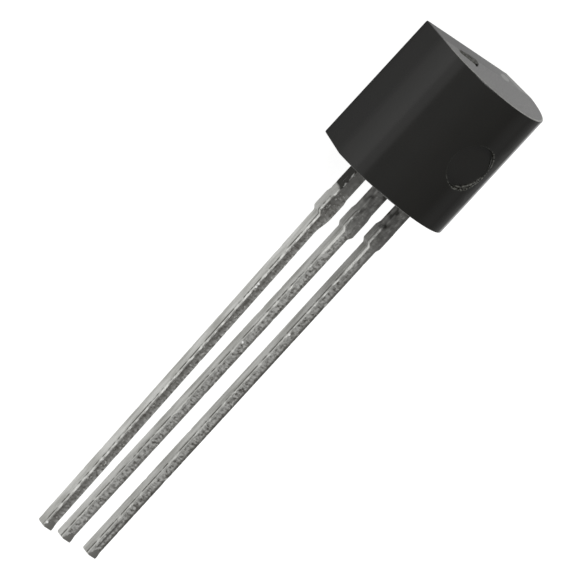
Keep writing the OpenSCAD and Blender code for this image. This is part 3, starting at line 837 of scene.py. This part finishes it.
def wear(x, y, z, nz, off, seed):
    """Depth of the dents at a point of a lead. The middles of the strip's broad faces have most."""
    broad = smooth(0.5, 0.9, abs(nz)) * smooth(0.02, 0.1, abs(off))
    waves = 0.0015 * (1 + rough(x, y, z, 1.6, seed))
    dents = 0.008 * broad * smooth(0.1, 0.6, rough(x, y, z, 0.2, seed + 1))
    pits = 0.004 * broad * max(0.0, rough(x, y, z, 0.1, seed + 2))
    nicked = smooth(0.35, 0.65, rough(x, y * 0.6, z, 0.13, seed + 3))
    nicks = 0.01 * smooth(0.04, 0.0, abs(off)) * nicked
    return waves + dents + pits + nicks


def resin_and_shade_on(lead, x, y, z, nz, off):
    """How much mould resin and flux darken a lead, together with painted shade and a painted dark
    reflection near the case. Towards -X, the collector lead has a dark film with a sharp border as
    well, partly resin and partly a painted reflection of a shadow."""
    side, face = at_stop(lead["resin_and_shade"], y)
    amount = mix(side, face, smooth(0.2, 0.8, nz))
    # Where it is thick, the resin and painted shade lie in patches
    patches = rough(x, y * 0.7, z, 0.12, 13)
    amount = clamp(amount + 0.4 * smooth(0.45, 0.7, amount) * patches, 0.0, 0.97)
    # The collector lead's dark film: partly resin, partly a painted reflection of a shadow
    if lead["x"] < -1 and x < 0 and off < 0.015 + 0.02 * rough(x, y, z, 0.12, 12):
        border = -3.03 - 0.25 * (z + STRIP_T / 2) + 0.04 * rough(x, y, z, 0.15, 11)
        amount = max(amount, 0.98 * smooth(border - 0.02, border + 0.02, y))
    return amount


def fold_shade(lead, up, off, u):
    """Painted fold shade: a dark line on the broad face by the emitter lead's left edge, near its
    tip.
    """
    if lead["x"] < 1 or u > 0.5:
        return 0.0
    along = smooth(0.3, 0.38, up) * smooth(1.7, 1.2, up)
    return along * smooth(0.03, 0.05, off) * smooth(0.12, 0.09, off)


def tip_cut(u):
    """How far up a lead the cut at its tip reaches, across the broad face from left to right."""
    return 0.06 + 0.24 * smooth(0.0, 0.45, u) - 0.05 * smooth(0.6, 1.0, u)


def rod_heights(lead, tip_y):
    """Heights of a rod's rings: close together at the tip, and a pair at each end of the stub."""
    heights = []
    y = tip_y
    while y < BOTTOM_Y + 0.05:
        heights.append(y)
        y += TIP_STEP if y < tip_y + TIP_ROWS_H else ROW_STEP
    for bend in (STUB_BOTTOM, STUB_TOP, STUB_TOP + STUB_SLOPE):
        heights = [h for h in heights if abs(h - bend) > 0.012] + [bend - 0.004, bend + 0.004]
    return sorted(heights) + [lead["stem_top"]]


def lead_rod(mesh, lead, tip_y, seed):
    """The rod of a lead, from its cut tip to where its stem ends inside the case."""
    marks = {name: mesh.verts.layers.float.new(name) for name in LEAD_MARKS}
    mid_z = STRIP_LOW_Z + STRIP_T / 2
    lean = tan(radians(lead["lean"]))
    previous = None
    for y in rod_heights(lead, tip_y):
        left, right = lead_sides(lead, y)
        low, high = -STRIP_T / 2, STRIP_T / 2
        near = tip_y + TIP_ROUND - y
        if near > 0:
            pulled = TIP_ROUND * (1 - sqrt(max(0.0, 1 - (near / TIP_ROUND) ** 2)))
            left += pulled * 0.9
            low += pulled * 0.9
        right += TIP_SQUEEZE * smooth(tip_y + 0.26, tip_y + 0.05, y)
        shift = (THIN_TOP - y) * lean if y < THIN_TOP else 0.0
        # The rod is worn only outside the case
        outside = smooth(BOTTOM_Y + 0.02, BOTTOM_Y - 0.15, y)
        ring = []
        for x, z, nx, nz, off in ring_shape(left, right, low, high, lead["sharp"]):
            # From 0 at the left side to 1 at the right
            u = clamp((x - left) / (right - left))
            reach = tip_cut(u)
            facet = FACET_DROP * clamp((tip_y + reach - y) / reach)
            on_facet = facet > 0 and nz > 0.2
            depth = 0.0 if facet > 0 else outside * wear(x, y, z, nz, off, seed)
            # The broad faces are crowned by the shear
            depth += lead["crown"] * outside * smooth(0.5, 0.9, abs(nz)) * (2 * u - 1) ** 2
            px, pz = x - nx * depth, z - nz * depth
            if on_facet:
                pz = min(pz, high - facet)
            vertex = mesh.verts.new((lead["x"] + px + shift, y, mid_z + pz))
            # The painted groove shade and the painted edge highlight lie along the upper edges only
            vertex[marks["from_edge"]] = off + lead["rolled"] if z > 0 and not on_facet else 1.0
            # Resin with painted shade and painted dark reflection, and the painted shade of a fold
            resin_and_shade = resin_and_shade_on(lead, x, y, z, nz, off)
            vertex[marks["resin_and_shade"]] = max(resin_and_shade, 0.9 * fold_shade(lead, y - tip_y, off, u))
            # How bright the painted edge highlight is here
            vertex[marks["ridge_highlight"]] = at_stop(lead["ridge_highlight"], y)[0]
            # Painted glints: white specks on the upper left edge
            if z > 0 and x < 0:
                crumbs = [smooth(0.05, 0.025, hypot(y - c, off)) for c in lead["crumbs"]]
                vertex[marks["glint_speck"]] = max(crumbs)
            # Where the cut facet is painted darker as shade
            vertex[marks["cut"]] = smooth(-0.01, 0.01, tip_y + reach - y) * smooth(0.1, 0.5, nz)
            # Stain and painted shade on the upper face: darker across from one side to the other,
            # more near the case, and painted shade at its right edge
            stained = mix(*lead["stain_and_shade"], smooth(0.35, 0.8, u)) + 0.15 * smooth(-4.1, -3.9, y)
            stained = max(stained, lead["dark_edge"] * smooth(0.5, 0.76, u))
            vertex[marks["stain_and_shade"]] = clamp(stained) * max(0.0, nz)
            ring.append(vertex)
        if previous:
            band(mesh, previous, ring)
        else:
            mesh.faces.new(ring[::-1]).smooth = False
        previous = ring
    mesh.faces.new(previous).smooth = False


def strip_plate(mesh, left, right, bottom, top, holes=()):
    """A rectangle of the strip inside the case, with round holes, as thick as the strip."""
    loops = [[(left, bottom), (right, bottom), (right, top), (left, top)]]
    for x, y, radius in holes:
        turns = [2 * pi * i / HOLE_STEPS for i in range(HOLE_STEPS)]
        loops.append([(x + radius * cos(a), y + radius * sin(a)) for a in turns])
    flat_points, edges = [], []
    for loop in loops:
        base = len(flat_points)
        flat_points += [Vector(p) for p in loop]
        edges += [(base + i, base + (i + 1) % len(loop)) for i in range(len(loop))]
    # Type 2 keeps what the edges enclose, and leaves the holes open
    placed, _, faces, _, _, _ = geometry.delaunay_2d_cdt(flat_points, edges, [], 2, 1e-6)
    low = [mesh.verts.new((p.x, p.y, STRIP_LOW_Z)) for p in placed]
    high = [mesh.verts.new((p.x, p.y, STRIP_LOW_Z + STRIP_T)) for p in placed]
    for face in faces:
        mesh.faces.new([low[i] for i in reversed(face)]).smooth = False
        mesh.faces.new([high[i] for i in face]).smooth = False
    for a, b in edges:
        mesh.faces.new((low[a], low[b], high[b], high[a])).smooth = False


def plated_lead(name, seed):
    """A lead with its rod, and its paddle or post inside the case."""
    lead = LEADS[name]
    low, high = node_box(name)
    mesh = bmesh.new()
    lead_rod(mesh, lead, low[1], seed)
    if name == "collector_lead":
        hole = PADDLE["left"] + PADDLE["hole"], PADDLE["top"] - PADDLE["hole"], PADDLE["hole"] / 2
        strip_plate(
            mesh, PADDLE["left"], PADDLE["right"], PADDLE["bottom"], PADDLE["top"], [hole])
    else:
        strip_plate(
            mesh, lead["x"] - POST_HALF_W, lead["x"] + POST_HALF_W, high[1] - POST_H, high[1])
    finish_piece("plated_" + name, mesh, TIN, "tinned_lead", name)


moulded_case()
for index, lead_name in enumerate(LEADS):
    plated_lead(lead_name, 20.0 + 7 * index)

# The inner pieces keep their solids, with better materials
gold = drawn_gold()
for node_name, material in {
    "silicon_die": polished_silicon(), "die_bond": reflowed_solder(), "emitter_wire": gold,
    "base_wire": gold,
}.items():
    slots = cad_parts[node_name].data.materials
    slots.clear()
    slots.append(material)


# ---------------------------------------------------------------- studio


def paper_sheet():
    """The round sheet under the part, in metres."""
    mesh = bmesh.new()
    bmesh.ops.create_circle(mesh, cap_ends=True, segments=96, radius=0.45)
    bmesh.ops.translate(mesh, verts=mesh.verts, vec=(0, -0.007, cad_low[2] - 0.01 * MM))
    sheet = mesh_object("paper_sheet", mesh, [white_paper()])


def studio_walls():
    """Pale walls up to about 15 degrees, and a grey ceiling, lighter at its sides, that dark epoxy
    mirrors."""
    world = bpy.data.worlds.new("studio_walls")
    bpy.context.scene.world = world
    world.use_nodes = True
    tree = world.node_tree
    tree.nodes.clear()
    way = add(tree, "SeparateXYZ", {0: add(tree, "TexCoord").outputs["Generated"]}).outputs
    upward = add(tree, "MapRange", {0: way["Z"], 1: sin(radians(14)), 2: sin(radians(16.5))})
    near = add(tree, "MapRange", {0: way["X"], 1: -0.2, 2: -0.7, 4: 0.12})
    far = add(tree, "MapRange", {0: way["X"], 1: 0.6, 2: 1.0, 4: 0.55})
    ceiling = add(tree, "Math", {0: near, 1: far}, operation="ADD")
    ceiling = add(tree, "Math", {0: ceiling, 1: 0.33}, operation="ADD")
    colour = add(tree, "Mix", {0: upward, 6: (0.85, 0.85, 0.85, 1.0), 7: ceiling}, data_type="RGBA")
    light = add(tree, "Background", {"Color": colour, "Strength": 1.0})
    add(tree, "OutputWorld", {"Surface": light})


def softbox(name, way, distance, size, level):
    """A square lamp that faces the part from a direction, with its distance and size in metres. It
    gives the part level times what white needs to show as white."""
    data = bpy.data.lights.new(name, "AREA")
    data.shape = "SQUARE"
    data.size = size
    data.energy = level * pi * pi * distance * distance
    lamp = new_object(name, data)
    middle = (cad_low + cad_high) / 2
    back = Vector(way).normalized()
    lamp.location = middle + back * distance
    lamp.rotation_mode = "QUATERNION"
    lamp.rotation_quaternion = back.to_track_quat("Z", "Y")


def camera():
    """Looks down on the part at 42 degrees, with a long lens, so that its edges stay almost
    parallel."""
    elevation, heading, roll = radians(42.007), radians(-11.723), radians(140.526)
    view_width = 17.143
    aim = Vector((-0.0286, -6.4711, 1.4288)) * MM
    sight = Vector((cos(elevation) * cos(heading), cos(elevation) * sin(heading), -sin(elevation)))
    level = sight.cross(Vector((0, 0, 1))).normalized()
    above = level.cross(sight)
    right = level * cos(roll) + above * sin(roll)
    up = right.cross(sight)
    data = bpy.data.cameras.new("camera")
    data.lens = 1600
    data.sensor_width = 36
    distance = view_width * MM * data.lens / data.sensor_width
    data.clip_start, data.clip_end = 0.05, 5.0
    made = new_object("camera", data)
    turn = Matrix((right, up, -sight)).transposed()
    made.matrix_world = Matrix.Translation(aim - sight * distance) @ turn.to_4x4()
    bpy.context.scene.camera = made


paper_sheet()
studio_walls()
softbox("key_softbox", way=(-0.35, 0.70, 0.62), distance=0.15, size=0.06, level=0.35)
softbox("tip_softbox", way=(-0.20, -0.80, 0.60), distance=0.15, size=0.08, level=0.3)
camera()
bpy.context.scene.view_settings.view_transform = "Standard"
